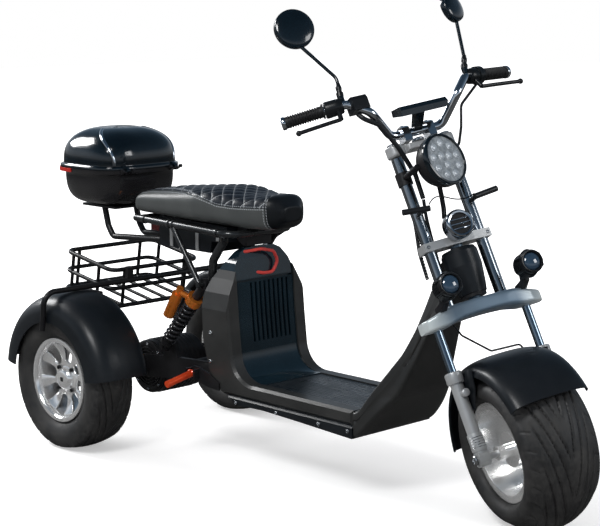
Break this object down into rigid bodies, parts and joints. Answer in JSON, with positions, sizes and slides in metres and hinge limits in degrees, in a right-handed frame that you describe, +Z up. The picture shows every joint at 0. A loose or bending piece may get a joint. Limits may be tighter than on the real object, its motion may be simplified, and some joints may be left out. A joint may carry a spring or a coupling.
{
  "type": "motorized trike",
  "caption": "Motorized trike with a low step-through deck, fat tyres, arched rear wheels, a long padded seat, a wire basket, a lidded top case and a raked steering fork.",
  "frame": {"origin": "middle of the footprint of the overall box, on the ground under the tyres", "axes": "+X forward, +Y to the rider's left, +Z up"},
  "size_m": [1.9204, 0.8366, 1.2709],
  "materials": {
    "tyre": "matt moulded rubber",
    "alloy": "polished cast alloy",
    "steel": "machined steel",
    "black_metal": "black powder coat",
    "orange_metal": "orange paint",
    "red_metal": "red anodised finish",
    "satin_black": "satin black plastic",
    "dark_gloss": "glossy blue-black plastic",
    "gloss_black": "glossy black plastic",
    "deck_mat": "ribbed rubber mat",
    "seat_leather": "quilted black synthetic leather",
    "red_lamp": "red lamp lens",
    "red_trim": "red trim",
    "silver_metal": "satin silver metal",
    "silver_paint": "pale blue-silver paint",
    "chrome": "chrome plate",
    "grip_rubber": "ribbed rubber",
    "mirror_glass": "mirror",
    "lamp_glass": "clear lamp lens"
  },
  "bodies": {
    "chassis": {"basket": "black_metal", "battery_housing": "dark_gloss", "body_sides": "satin_black", "case_band": "red_trim", "case_base": "satin_black", "case_carrier": "black_metal", "fender_stays": "black_metal", "footboard": "deck_mat", "front_neck": "satin_black", "guard_bar": "black_metal", "head_shroud": "satin_black", "head_tube": "black_metal", "lower_tray": "satin_black", "peg_brackets": "black_metal", "rear_axle": "black_metal", "rear_fender_left": "satin_black", "rear_fender_right": "satin_black", "red_cable": "red_trim", "seat": "seat_leather", "seat_frame": "black_metal", "seat_post": "black_metal", "shock_reservoirs": "orange_metal", "shock_springs": "black_metal", "shocks": "black_metal", "swing_arm": "black_metal", "tail_lamp": "red_lamp", "under_seat_box": "satin_black"},
    "case_lid": {"case_lid": "gloss_black"},
    "peg_right": {"peg_right": "red_metal"},
    "peg_left": {"peg_left": "red_metal"},
    "rear_wheel_right": {"rear_tyre_right": "tyre", "rear_rim_right": "alloy"},
    "rear_wheel_left": {"rear_tyre_left": "tyre", "rear_rim_left": "alloy"},
    "steering": {"fork_legs": "silver_metal", "stanchions": "chrome", "brake_caliper": "black_metal", "front_fender": "satin_black", "lower_yoke": "silver_paint", "upper_tubes": "silver_metal", "mid_clamp": "silver_metal", "top_yoke": "chrome", "handlebar": "chrome", "risers": "chrome", "grips": "grip_rubber", "brake_levers": "black_metal", "switch_boxes": "satin_black", "mirrors": "satin_black", "mirror_glass": "mirror_glass", "display": "gloss_black", "headlamp": "black_metal", "headlamp_lens": "lamp_glass", "lamp_bracket": "black_metal", "horn": "silver_metal", "turn_signals": "satin_black", "spotlights": "black_metal", "cables": "satin_black"},
    "front_wheel": {"front_tyre": "tyre", "front_rim": "alloy", "brake_disc": "steel"}
  },
  "joints": [
    {"name": "case_lid_hinge", "type": "hinge", "parent": "chassis", "child": "case_lid", "pos_m": [-0.6522, 0, 0.768], "axis": [0, 1, 0], "range_deg": [0, 75]},
    {"name": "peg_right_fold", "type": "hinge", "parent": "chassis", "child": "peg_right", "pos_m": [-0.2912, -0.162, 0.24], "axis": [-1, 0, 0], "range_deg": [0, 90]},
    {"name": "peg_left_fold", "type": "hinge", "parent": "chassis", "child": "peg_left", "pos_m": [-0.2912, 0.162, 0.24], "axis": [1, 0, 0], "range_deg": [0, 90]},
    {"name": "rear_wheel_right_spin", "type": "hinge", "parent": "chassis", "child": "rear_wheel_right", "pos_m": [-0.6292, -0.316, 0.199], "axis": [0, 1, 0], "continuous": true},
    {"name": "rear_wheel_left_spin", "type": "hinge", "parent": "chassis", "child": "rear_wheel_left", "pos_m": [-0.6292, 0.316, 0.199], "axis": [0, 1, 0], "continuous": true},
    {"name": "steering", "type": "hinge", "parent": "chassis", "child": "steering", "pos_m": [0.7558, 0, 0.20859], "axis": [-0.4524, 0, 0.8918], "range_deg": [-12.1, 57.9]},
    {"name": "front_wheel_spin", "type": "hinge", "parent": "steering", "child": "front_wheel", "pos_m": [0.7558, 0, 0.20859], "axis": [0.347, 0.9212, 0.1761], "continuous": true}
  ]
}
